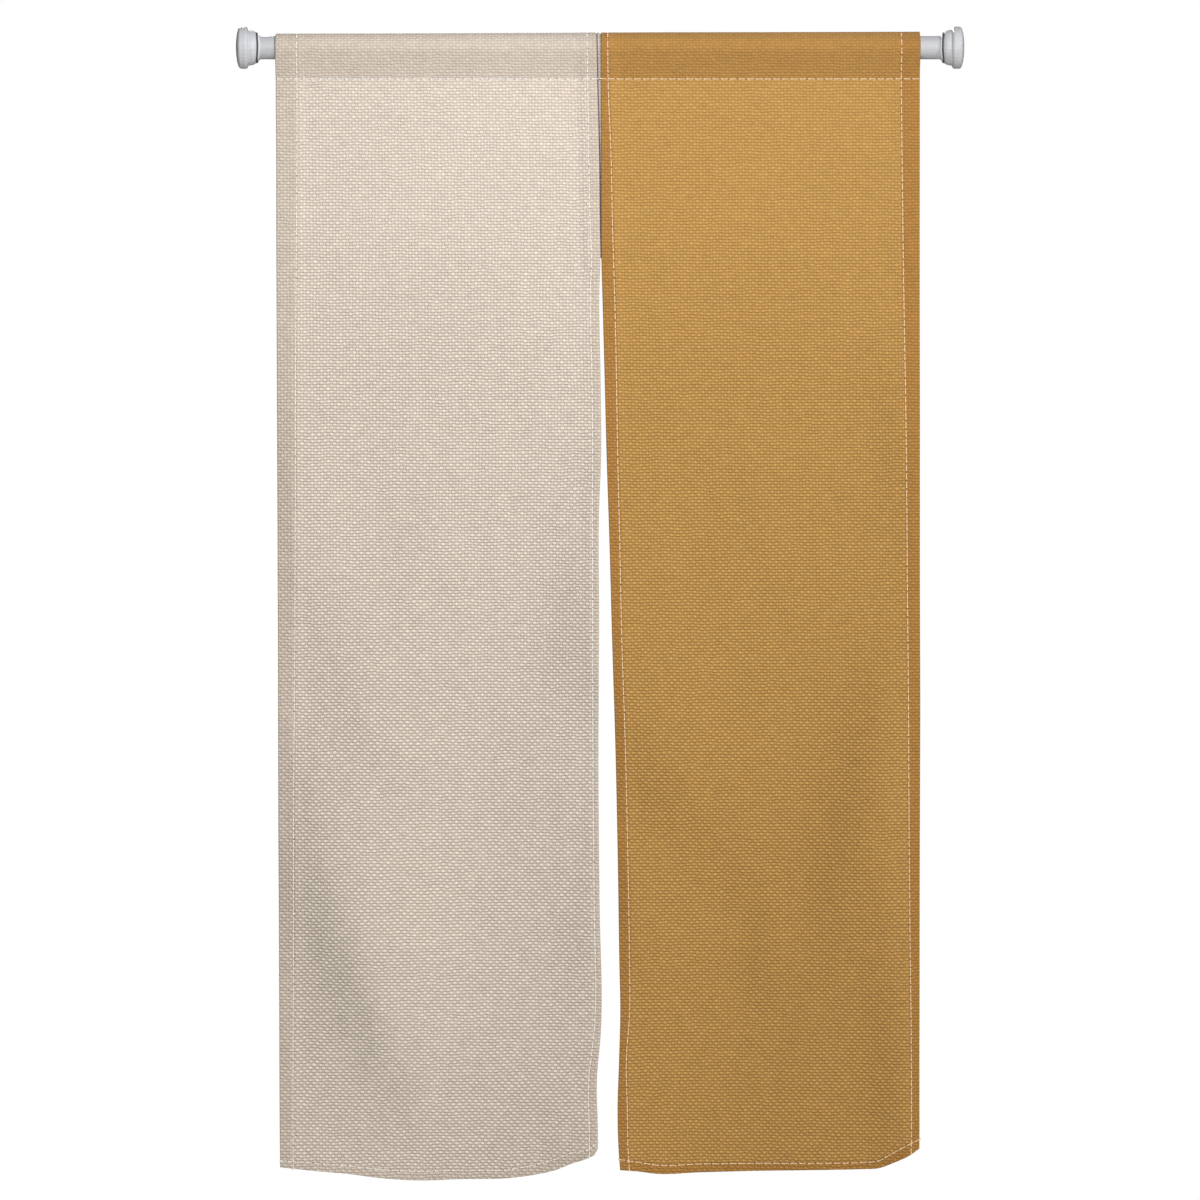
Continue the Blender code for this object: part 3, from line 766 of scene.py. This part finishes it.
def sheet_mesh(name, grid, finish):
    """Make a sheet's mesh from its two sides, with its flat measure as a UV map and its hems marked."""
    rows, columns = grid.outer.shape[:2]
    count = rows * columns
    points = np.vstack([grid.outer.reshape(-1, 3), grid.inner.reshape(-1, 3)])
    number = np.arange(count).reshape(rows, columns)
    a, b = number[:-1, :-1].ravel(), number[:-1, 1:].ravel()
    c, d = number[1:, 1:].ravel(), number[1:, :-1].ravel()
    front = np.column_stack([a, d, c, b])
    back = np.column_stack([a, b, c, d]) + count
    faces = np.vstack([front, back])
    mesh = bpy.data.meshes.new(name)
    mesh.from_pydata(points.tolist(), [], faces.tolist())
    flat = np.column_stack([grid.flat_across.ravel(), grid.flat_along.ravel()])
    flat = np.vstack([flat, flat])
    layer = mesh.uv_layers.new(name="flat")
    layer.data.foreach_set("uv", flat[faces.ravel()].astype(np.float32).ravel())
    for mark, values in (("hem", grid.hem), ("pull", grid.pull)):
        kept = mesh.attributes.new(mark, "FLOAT", "POINT")
        both_sides = np.broadcast_to(values, (2, rows, columns))
        kept.data.foreach_set("value", both_sides.astype(np.float32).ravel())
    weld(mesh)
    mesh.materials.append(finish.material)
    mesh.shade_smooth()
    return put_in_scene(name, mesh)


def weld(mesh):
    """Join the two sides where they meet at the sheet's edges."""
    work = bmesh.new()
    work.from_mesh(mesh)
    bmesh.ops.remove_doubles(work, verts=work.verts, dist=WELD_DISTANCE)
    work.to_mesh(mesh)
    work.free()


# The cloth's weave: the pitch of its threads, and how its look changes from thread to thread
WARP_PITCH = 0.00435
WEFT_PITCH = 0.00400
WEAVE_HEIGHT = 0.0014
WARP_HALF = 0.50
WEFT_HALF = 0.46
WEFT_SPREAD = 0.05
WEFT_FLOAT = 0.58
WARP_SPREAD = 0.05
WARP_TOP_CROWN = 0.68
WARP_LOW_CROWN = 0.50
WARP_EVEN_DROP = (0.30, 0.95)
TENSION_CHANGE = 0.30
# The painted gap shade is cut near the top of the drop and in the pocket.
GAP_SHADE_CUT_DROP = (0.02, 0.45)
TOP_GAP_SHADE_CUT = 0.30
POCKET_EDGE = (-0.004, 0.014)
POCKET_GAP_SHADE_CUT = 0.16
POCKET_FLAT = 0.35
# Painted shade over the rod pocket.
POCKET_SHADE = 0.09
SLUB = 0.12
SLUB_STEP = 7.3
SLUB_ALONG = 0.30
SWAY = 1.2
WARP_SWAY_SCALE = 30.0
WEFT_SWAY_SCALE = 34.0
TENSION_SCALE = 4.5
CLOUD_SCALE = 5.0
CLOUD_TONE = 0.05
CROSSING_TONE = 0.08
WARP_TONE = 0.12
WEFT_TONE = 0.16
# Painted shade along the sewing grooves.
GROOVE_PAINTED_SHADE = 0.16


def woven(name, low, high, hem_low, hem_high):
    """Coarse plain-woven cloth. Its threads are slubby, and its open crossings are darker. Its colour goes
    from painted shade in the gaps between the threads to a painted highlight on their crowns.
    """
    cloth = Finish(
        name, Roughness=0.92, Sheen_Weight=0.08, Sheen_Roughness=0.6, Specular_IOR_Level=0.15
    )
    across, along = cloth.uv("flat")
    flat = cloth.point(across, along)
    sway_across = cloth.noise(flat, WARP_SWAY_SCALE, 4.0)
    sway_along = cloth.noise(cloth.point(along, across, 3.0), WEFT_SWAY_SCALE, 4.0)
    warp_even = across / WARP_PITCH + (sway_across - 0.5) * SWAY
    weft_even = along / WEFT_PITCH + (sway_along - 0.5) * SWAY
    crossed = (warp_even * math.pi).math("SINE") * (weft_even * math.pi).math("COSINE")
    weft = weft_even - crossed * WEFT_SPREAD
    aside = (warp_even * math.pi).math("COSINE") * (weft_even * math.pi).math("SINE")
    warp = warp_even - aside * WARP_SPREAD
    warp_number = warp.math("FLOOR")
    weft_number = weft.math("FLOOR")
    off_warp = warp - warp_number - 0.5
    off_weft = weft - weft_number - 0.5
    along_warp = cloth.point(warp_number * SLUB_STEP, weft * SLUB_ALONG, 1.0)
    along_weft = cloth.point(weft_number * SLUB_STEP, warp * SLUB_ALONG, 9.0)
    slub_warp = cloth.noise(along_warp, 1.0, 1.0) - 0.5
    slub_weft = cloth.noise(along_weft, 1.0, 1.0) - 0.5
    half_warp = slub_warp * SLUB + WARP_HALF
    half_weft = slub_weft * SLUB + WEFT_HALF
    over_warp = ((weft - 0.5 + warp_number) * math.pi).math("COSINE")
    over_weft = ((warp - 0.5 + weft_number) * math.pi).math("COSINE")
    round_warp = (1 - (off_warp / half_warp) ** 2.0).math("MAXIMUM", 0.0).math("SQRT")
    round_weft = (1 - (off_weft / half_weft) ** 2.0).math("MAXIMUM", 0.0).math("SQRT")
    tension = (cloth.noise(flat, TENSION_SCALE, 2.0) - 0.5) * TENSION_CHANGE
    slack = along.eased(*WARP_EVEN_DROP) * (WARP_LOW_CROWN - WARP_TOP_CROWN)
    drawn = slack + WARP_TOP_CROWN + tension
    warp_height = round_warp * (over_warp * 0.50 + 0.50) * drawn
    weft_height = round_weft * (0.50 - over_weft * 0.50) ** WEFT_FLOAT
    height = warp_height.math("MAXIMUM", weft_height)
    crossing = cloth.chance(warp_number, weft_number) - 0.5
    # The hem mark blends in darker hem colours: painted shade, for less light coming through the doubled
    # cloth of the hems and the pocket. On the joining strip the same mark holds the painted shadow beside
    # the left panel's edge.
    hem_and_edge_shade = cloth.attribute("hem")
    # low and in_gap are the cloth's colour with painted shade in the gaps between the threads; high and
    # on_crown are its colour with a painted highlight on the crowns.
    in_gap = cloth.blend(hem_and_edge_shade, linear(*low), linear(*hem_low))
    on_crown = cloth.blend(hem_and_edge_shade, linear(*high), linear(*hem_high))
    clouds = (cloth.noise(flat, CLOUD_SCALE, 3.0) - 0.5) * CLOUD_TONE
    tone = 1.0 + crossing * CROSSING_TONE + slub_warp * WARP_TONE + slub_weft * WEFT_TONE + clouds
    calm = 1.0 - along.eased(*POCKET_EDGE)
    # Painted shade: the cloth is darkened along the sewing grooves and over the rod pocket.
    tone = tone * (1.0 - cloth.attribute("pull") * GROOVE_PAINTED_SHADE) * (1.0 - calm * POCKET_SHADE)
    # Less of the painted gap shade near the top of the drop and in the pocket.
    gap_shade_cut = (1.0 - along.eased(*GAP_SHADE_CUT_DROP)) * TOP_GAP_SHADE_CUT + calm * POCKET_GAP_SHADE_CUT
    # The threads' height sets the colour between the painted gap shade and the painted crown highlight.
    colour_with_painted_shade = cloth.blend(height * (1.0 - gap_shade_cut) + gap_shade_cut, in_gap, on_crown)
    cloth.set("Base Color", cloth.shade(colour_with_painted_shade, tone))
    cloth.relief(height * (1.0 - calm * POCKET_FLAT), WEAVE_HEIGHT)
    return cloth


# For both cloths, low and high hold painted shade in the weave's gaps and a painted highlight on its
# crowns. hem_low and hem_high are darker: painted shade for the doubled cloth of the hems.
beige_cloth = woven(
    "beige_cloth",
    low=(171, 156, 141),
    high=(236, 223, 209),
    hem_low=(183, 168, 152),
    hem_high=(220, 206, 190),
)
mustard_cloth = woven(
    "mustard_cloth",
    low=(148, 107, 49),
    high=(204, 159, 91),
    hem_low=(152, 106, 46),
    hem_high=(185, 136, 72),
)

left_grid = hang(LEFT_PANEL)
left_panel = sheet_mesh("left_panel_cloth", left_grid, beige_cloth)
right_grid = hang(RIGHT_PANEL)
right_panel = sheet_mesh("right_panel_cloth", right_grid, mustard_cloth)

# The joining strip
# A narrow strip of plain beige cloth. It is sewn behind both inner hems from the pocket down to
# where the panels part, and shows between them as a thin line.
STRIP_CLOTH = 0.0010
STRIP_ROWS = 60
STRIP_PUFF = 0.0032
PUFF_FULLNESS = 0.7
# The dark line on the strip beside the left panel's edge is painted shadow of that edge; this is how far it
# reaches.
PAINTED_EDGE_SHADOW_WIDTH = 0.0014
SEAM_START = -0.0006
SEAM_COLUMNS = (
    -0.0030, -0.0015, SEAM_START, 0.0, 0.0006, PAINTED_EDGE_SHADOW_WIDTH, 0.0020, 0.0030, 0.0042, 0.0052, 0.0066
)
BEHIND_HEM = 0.4


def strip_columns(height):
    """The strip's columns across, set out from the left panel's inner edge at each height."""
    fallen = eased(height, 0, SEAM_END)
    left = STRIP_TOP_EDGES[0] + (STRIP_LOW_EDGES[0] - STRIP_TOP_EDGES[0]) * fallen
    right = STRIP_TOP_EDGES[1] + (STRIP_LOW_EDGES[1] - STRIP_TOP_EDGES[1]) * fallen
    heights = column(LEFT_PANEL.sections, "height")
    edge = along_curve(heights, column(LEFT_PANEL.sections, "right_edge"), height)
    places = [left, left * (1 - BEHIND_HEM) + edge * BEHIND_HEM]
    places += [edge + offset for offset in SEAM_COLUMNS]
    places += [edge * 0.5 + right * 0.5 + SEAM_COLUMNS[-1] / 2, right]
    return np.stack(places, axis=-1)


strip_layer = STRIP_CLOTH / 2 + HALF_LAYER_GAP
strip_radius = TUBE_RADIUS + POCKET_ROOM + STRIP_CLOTH / 2
strip_drop = np.linspace(-POCKET_DEPTH + STITCH_OFFSETS[0], SEAM_END, STRIP_ROWS + 1)[1:]
top_places = strip_columns(np.float64(0.0))
seam_start = top_places[2 + SEAM_COLUMNS.index(SEAM_START)]
seam_end = RIGHT_PANEL.sections[0].left_edge - SEAM_START
strip_lines = []
for place in top_places:
    share = min(max((place - seam_start) / (seam_end - seam_start), 0), 1)
    puff = STRIP_PUFF * math.sin(math.pi * share) ** PUFF_FULLNESS
    strip_lines.append(cloth_line(strip_radius, strip_layer, puff, strip_drop)[0])
strip_lines = np.stack(strip_lines, axis=1)
strip_across = strip_columns(strip_lines[:, 0, 1])
strip_thick = np.full(strip_across.shape, STRIP_CLOTH / 2)
strip_thick[:, [0, -1]] = 0
strip_thick[[0, -1], :] = 0
strip_step = [sides_of(strip_lines[:, place]) for place in range(len(top_places))]
strip_step = np.stack(strip_step, axis=1)
strip_sides = []
for sign in (1, -1):
    moved = strip_lines + sign * strip_step * strip_thick[..., None]
    strip_sides.append(np.stack([strip_across, moved[..., 0], moved[..., 1]], axis=-1))
steps = np.linalg.norm(np.diff(strip_lines, axis=0), axis=2)
strip_along = np.vstack([np.zeros((1, len(top_places))), np.cumsum(steps, axis=0)])
# The painted shadow beside the left panel's edge, on the strip's front only.
painted_edge_shadow = [0, 0] + [1.0 if offset <= PAINTED_EDGE_SHADOW_WIDTH else 0.0 for offset in SEAM_COLUMNS] + [0, 0]
plain = np.zeros(strip_across.shape)
strip_grid = Grid(
    outer=strip_sides[0],
    inner=strip_sides[1],
    flat_across=strip_across,
    flat_along=strip_along,
    hem=np.stack([np.tile(painted_edge_shadow, (len(strip_lines), 1)), plain]),
    pull=plain,
)
# The strip's hem colours are the dark painted shadow of the left panel's edge.
strip_cloth = woven(
    "strip_cloth",
    low=(192, 178, 167),
    high=(225, 210, 199),
    hem_low=(90, 83, 81),
    hem_high=(120, 111, 109),
)
joining_strip = sheet_mesh("joining_strip_cloth", strip_grid, strip_cloth)

# The sewing
# Long lockstitches, of near-white thread on the beige panel and cream thread on the mustard one.
# One row runs along each hem, across the pocket and along the bottom. Each stitch lies on the
# cloth and dips into it at both ends.
STITCH_PITCH = 0.0112
STITCH_LENGTH = 0.0088
THREAD = 0.0017
THREAD_CREAM = (252, 224, 184)
THREAD_SHADE = (238, 205, 164)
THREAD_PALE = (252, 248, 242)
THREAD_PALE_SHADE = (240, 234, 226)
STITCH_SEED = 7
STITCH_UNEVENNESS = 0.10
STITCH_SUNK = -0.40
STITCH_RAISED = 1.15
THREAD_SIDES = 6
STITCH_STEPS = 6
TWIST_GRAIN = 900.0
TWIST_RELIEF = 0.0002
CREST_CLEAR = 0.0060
CORNER_CLEAR = 4


def thread(name, shade, light):
    """Spun thread: matt, with small dark and light places from its twist."""
    spun = Finish(name, Roughness=0.7, Sheen_Weight=0.1, Specular_IOR_Level=0.3)
    twist = spun.noise(spun.place(), TWIST_GRAIN, 2.0)
    spun.tint(twist, shade, light)
    spun.relief(twist, TWIST_RELIEF)
    return spun


cream_thread = thread("cream_thread", THREAD_SHADE, THREAD_CREAM)
pale_thread = thread("pale_thread", THREAD_PALE_SHADE, THREAD_PALE)


def stitch_tree():
    """Lay a stitch at even steps along a row's path, turned to the way its cloth faces."""
    tree = bpy.data.node_groups.new("stitches", "GeometryNodeTree")
    tree.interface.new_socket("Path", in_out="INPUT", socket_type="NodeSocketGeometry")
    for name in ("Pitch", "Length", "Thread", "Unevenness"):
        tree.interface.new_socket(name, in_out="INPUT", socket_type="NodeSocketFloat")
    tree.interface.new_socket("Seed", in_out="INPUT", socket_type="NodeSocketInt")
    tree.interface.new_socket("Finish", in_out="INPUT", socket_type="NodeSocketMaterial")
    tree.interface.new_socket("Stitches", in_out="OUTPUT", socket_type="NodeSocketGeometry")
    given = tree.nodes.new("NodeGroupInput")
    result = tree.nodes.new("NodeGroupOutput")

    def node(kind, settings, values):
        """Add a node. A node that is given as a value is linked by its first output."""
        made = tree.nodes.new(kind)
        for name, setting in settings.items():
            setattr(made, name, setting)
        for name, value in values.items():
            if isinstance(value, bpy.types.Node):
                value = value.outputs[0]
            if isinstance(value, bpy.types.NodeSocket):
                tree.links.new(value, made.inputs[name])
            else:
                made.inputs[name].default_value = value
        return made

    def maths(operation, first, second):
        return node("ShaderNodeMath", {"operation": operation}, {0: first, 1: second})

    half = maths("MULTIPLY", given.outputs["Length"], 0.5)
    back_half = maths("MULTIPLY", given.outputs["Length"], -0.5)
    sunk = maths("MULTIPLY", given.outputs["Thread"], STITCH_SUNK)
    raised = maths("MULTIPLY", given.outputs["Thread"], STITCH_RAISED)
    start = node("ShaderNodeCombineXYZ", {}, {"X": back_half, "Z": sunk})
    crest = node("ShaderNodeCombineXYZ", {}, {"Z": raised})
    end = node("ShaderNodeCombineXYZ", {}, {"X": half, "Z": sunk})
    arch = node(
        "GeometryNodeCurveQuadraticBezier",
        {},
        {"Resolution": STITCH_STEPS, "Start": start, "Middle": crest, "End": end},
    )
    section = node(
        "GeometryNodeCurvePrimitiveCircle",
        {"mode": "RADIUS"},
        {"Resolution": THREAD_SIDES, "Radius": maths("MULTIPLY", given.outputs["Thread"], 0.5)},
    )
    stitch = node(
        "GeometryNodeCurveToMesh",
        {},
        {"Curve": arch, "Profile Curve": section, "Fill Caps": True},
    )
    smooth = node("GeometryNodeSetShadeSmooth", {}, {"Geometry": stitch})
    path = node("GeometryNodeMeshToCurve", {}, {"Mesh": given.outputs["Path"]})
    steps = node(
        "GeometryNodeResampleCurve",
        {"mode": "LENGTH"},
        {"Curve": path, "Length": given.outputs["Pitch"]},
    )
    facing = node("GeometryNodeInputNamedAttribute", {"data_type": "FLOAT_VECTOR"}, {"Name": "facing"})
    tangent = node("GeometryNodeInputTangent", {}, {})
    along = node("FunctionNodeAlignRotationToVector", {"axis": "X"}, {"Vector": tangent})
    upright = node(
        "FunctionNodeAlignRotationToVector",
        {"axis": "Z", "pivot_axis": "X"},
        {"Rotation": along, "Vector": facing},
    )
    low = maths("SUBTRACT", 1.0, given.outputs["Unevenness"])
    high = maths("ADD", 1.0, given.outputs["Unevenness"])
    size = node(
        "FunctionNodeRandomValue",
        {"data_type": "FLOAT"},
        {2: low, 3: high, "Seed": given.outputs["Seed"]},
    )
    scale = node("ShaderNodeCombineXYZ", {}, {"X": size.outputs[1], "Y": 1.0, "Z": 1.0})
    placed = node(
        "GeometryNodeInstanceOnPoints",
        {},
        {"Points": steps, "Instance": smooth, "Rotation": upright, "Scale": scale},
    )
    real = node("GeometryNodeRealizeInstances", {}, {"Geometry": placed})
    painted = node(
        "GeometryNodeSetMaterial",
        {},
        {"Geometry": real, "Material": given.outputs["Finish"]},
    )
    tree.links.new(painted.outputs[0], result.inputs[0])
    return tree


stitches = stitch_tree()


def sew(name, rows, finish):
    """Sew rows of stitches. Each row is its path's points and the way the cloth faces at each."""
    points = []
    edges = []
    facings = []
    for path, facing in rows:
        first = len(points)
        points += path.tolist()
        facings += facing.tolist()
        edges += [(first + step, first + step + 1) for step in range(len(path) - 1)]
    mesh = bpy.data.meshes.new(f"{name}_path")
    mesh.from_pydata(points, edges, [])
    kept = mesh.attributes.new("facing", "FLOAT_VECTOR", "POINT")
    kept.data.foreach_set("vector", np.array(facings, np.float32).ravel())
    path_object = put_in_scene(f"{name}_path", mesh)
    modifier = path_object.modifiers.new("stitches", "NODES")
    modifier.node_group = stitches
    values = {
        "Pitch": STITCH_PITCH,
        "Length": STITCH_LENGTH,
        "Thread": THREAD,
        "Unevenness": STITCH_UNEVENNESS,
        "Seed": STITCH_SEED,
        "Finish": finish.material,
    }
    for item in stitches.interface.items_tree:
        if item.name in values:
            modifier[item.identifier] = values[item.name]
    evaluated = path_object.evaluated_get(bpy.context.evaluated_depsgraph_get())
    made = bpy.data.meshes.new_from_object(evaluated)
    made.name = name
    path_object.modifiers.remove(modifier)
    bpy.data.objects.remove(path_object)
    return put_in_scene(name, made)


def facing_of(grid, side):
    """The way that one side of a sheet faces at each of its points."""
    surface = grid.outer if side > 0 else grid.inner
    down = np.gradient(surface, axis=0)
    aside = np.gradient(surface, axis=1)
    facing = np.cross(down, aside)
    facing /= np.maximum(np.linalg.norm(facing, axis=2), 1e-9)[..., None]
    return surface, facing * -side


def sewing_rows(panel, grid):
    """The rows along both side hems, across the pocket and along the bottom, on both faces."""
    outer, outer_facing = facing_of(grid, 1)
    inner, inner_facing = facing_of(grid, -1)
    back_row, front_row = grid.pocket_rows
    last = grid.bottom_row
    numbers = np.arange(len(outer))
    rows = []
    sides = ((grid.left_column, panel.strip_side < 0), (grid.right_column, panel.strip_side > 0))
    for place, over_strip in sides:
        height = outer[:, place, 2]
        off_crest = height < height.max() - CREST_CLEAR
        clear = off_crest & (numbers > 0) & (numbers < len(numbers) - CORNER_CLEAR)
        over_rod = int(np.argmax(height))
        behind = clear & (numbers < over_rod)
        ahead = clear & (numbers > over_rod)
        rows.append((outer[behind, place], outer_facing[behind, place]))
        rows.append((outer[ahead, place], outer_facing[ahead, place]))
        top = SEAM_END - CREST_CLEAR if over_strip else -POCKET_DEPTH - CREST_CLEAR
        hidden = clear & (numbers > front_row) & (inner[:, place, 2] < top)
        rows.append((inner[hidden, place], inner_facing[hidden, place]))
        if over_strip:
            joined = (numbers > front_row) & (height > SEAM_END)
            on_strip = outer[joined, place].copy()
            strip_back = strip_grid.inner[-2, 1, 1]
            on_strip[:, 1] = strip_back
            rows.append((on_strip, np.tile((0.0, 1.0, 0.0), (len(on_strip), 1))))
    for surface, facing, row in (
        (outer, outer_facing, back_row),
        (outer, outer_facing, front_row),
        (outer, outer_facing, last),
        (inner, inner_facing, last),
    ):
        inside = slice(CORNER_CLEAR, -CORNER_CLEAR)
        rows.append((surface[row, inside], facing[row, inside]))
    return rows


left_sewing = sew("left_panel_sewing", sewing_rows(LEFT_PANEL, left_grid), pale_thread)
right_sewing = sew("right_panel_sewing", sewing_rows(RIGHT_PANEL, right_grid), cream_thread)

for piece, node_name in (
    (left_panel, "left_panel"),
    (right_panel, "right_panel"),
    (joining_strip, "joining_strip"),
):
    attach(piece, "root")
    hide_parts(node_name)
for piece in (left_sewing, right_sewing):
    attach(piece, "root")

# The floor, the light and the camera
# A plain pale floor under the curtain. A sun-like key light from the front right draws the folds,
# a soft light stands before the curtain's top, and a third one lights its back. The camera looks
# from straight ahead, with the photo's square view.
PHOTO_SIDE_PX = 1200
METRES_PER_PX = 0.0013211
ROD_ROW_PX = 47.7
JAMB_COLUMN_PX = 236.8
CAMERA_DISTANCE = 6.0
SENSOR_MM = 36.0
FLOOR_DROP = 0.50
FLOOR_RADIUS = 2.4
FLOOR_SIDES = 96
FLOOR_PALE = (233, 233, 232)
FLOOR_SHADE = (228, 228, 226)
WHITE = (1.0, 1.0, 1.0, 1.0)
ROOM_LIGHT = 0.12
LIT_HEIGHT = -0.6
KEY_PLACE = (3.0, -3.2, 1.2)
KEY_STRENGTH = 1.46
KEY_SPREAD = math.radians(18)
FRONT_PLACE = (0.20, -2.0, 0.2)
FRONT_WATTS = 31.2
REAR_PLACE = (-0.9, 3.4, 1.5)
REAR_WATTS = 105
SOFT_LIGHT_SIDE = 0.8

view_width = PHOTO_SIDE_PX * METRES_PER_PX
middle_x = (PHOTO_SIDE_PX / 2 - JAMB_COLUMN_PX) * METRES_PER_PX
middle_z = (ROD_ROW_PX - PHOTO_SIDE_PX / 2) * METRES_PER_PX

floor_finish = Finish("pale_floor", Roughness=0.8)
at = floor_finish.place()
floor_finish.tint(floor_finish.noise(at, 2.0), FLOOR_SHADE, FLOOR_PALE)
floor_height = cad_box[0][2] - FLOOR_DROP
rim = [
    (
        middle_x + FLOOR_RADIUS * math.cos(2 * math.pi * side / FLOOR_SIDES),
        FLOOR_RADIUS * math.sin(2 * math.pi * side / FLOOR_SIDES),
        floor_height,
    )
    for side in range(FLOOR_SIDES)
]
floor_mesh = bpy.data.meshes.new("floor")
floor_mesh.from_pydata(rim, [], [tuple(range(FLOOR_SIDES))])
floor_mesh.materials.append(floor_finish.material)
floor = put_in_scene("floor", floor_mesh)

world = bpy.data.worlds.new("pale_room")
bpy.context.scene.world = world
world.use_nodes = True
nodes = world.node_tree.nodes
links = world.node_tree.links
backdrop = nodes["Background"]
backdrop.inputs["Color"].default_value = WHITE
backdrop.inputs["Strength"].default_value = 1.0
room = nodes.new("ShaderNodeBackground")
room.inputs["Color"].default_value = WHITE
room.inputs["Strength"].default_value = ROOM_LIGHT
seen = nodes.new("ShaderNodeLightPath")
either = nodes.new("ShaderNodeMixShader")
links.new(seen.outputs["Is Camera Ray"], either.inputs[0])
links.new(room.outputs[0], either.inputs[1])
links.new(backdrop.outputs[0], either.inputs[2])
links.new(either.outputs[0], nodes["World Output"].inputs[0])


def lamp(name, kind, beside, power):
    """A light that stands beside the picture's middle line and faces the curtain's middle."""
    data = bpy.data.lights.new(name, kind)
    data.energy = power
    held = put_in_scene(name, data)
    place = Vector((middle_x + beside[0], beside[1], beside[2]))
    way = Vector((middle_x, 0, LIT_HEIGHT)) - place
    held.location = place
    held.rotation_euler = way.to_track_quat("-Z", "Y").to_euler()
    return data


key = lamp("key_light", "SUN", KEY_PLACE, KEY_STRENGTH)
key.angle = KEY_SPREAD
for name, beside, watts in (
    ("front_light", FRONT_PLACE, FRONT_WATTS),
    ("rear_light", REAR_PLACE, REAR_WATTS),
):
    soft = lamp(name, "AREA", beside, watts)
    soft.shape = "SQUARE"
    soft.size = SOFT_LIGHT_SIDE

camera_data = bpy.data.cameras.new("camera")
camera_data.sensor_width = SENSOR_MM
camera_data.lens = SENSOR_MM * CAMERA_DISTANCE / view_width
camera = put_in_scene("camera", camera_data)
camera.location = (middle_x, -CAMERA_DISTANCE, middle_z)
camera.rotation_euler = (math.pi / 2, 0, 0)
bpy.context.scene.camera = camera
bpy.context.scene.view_settings.view_transform = "Standard"
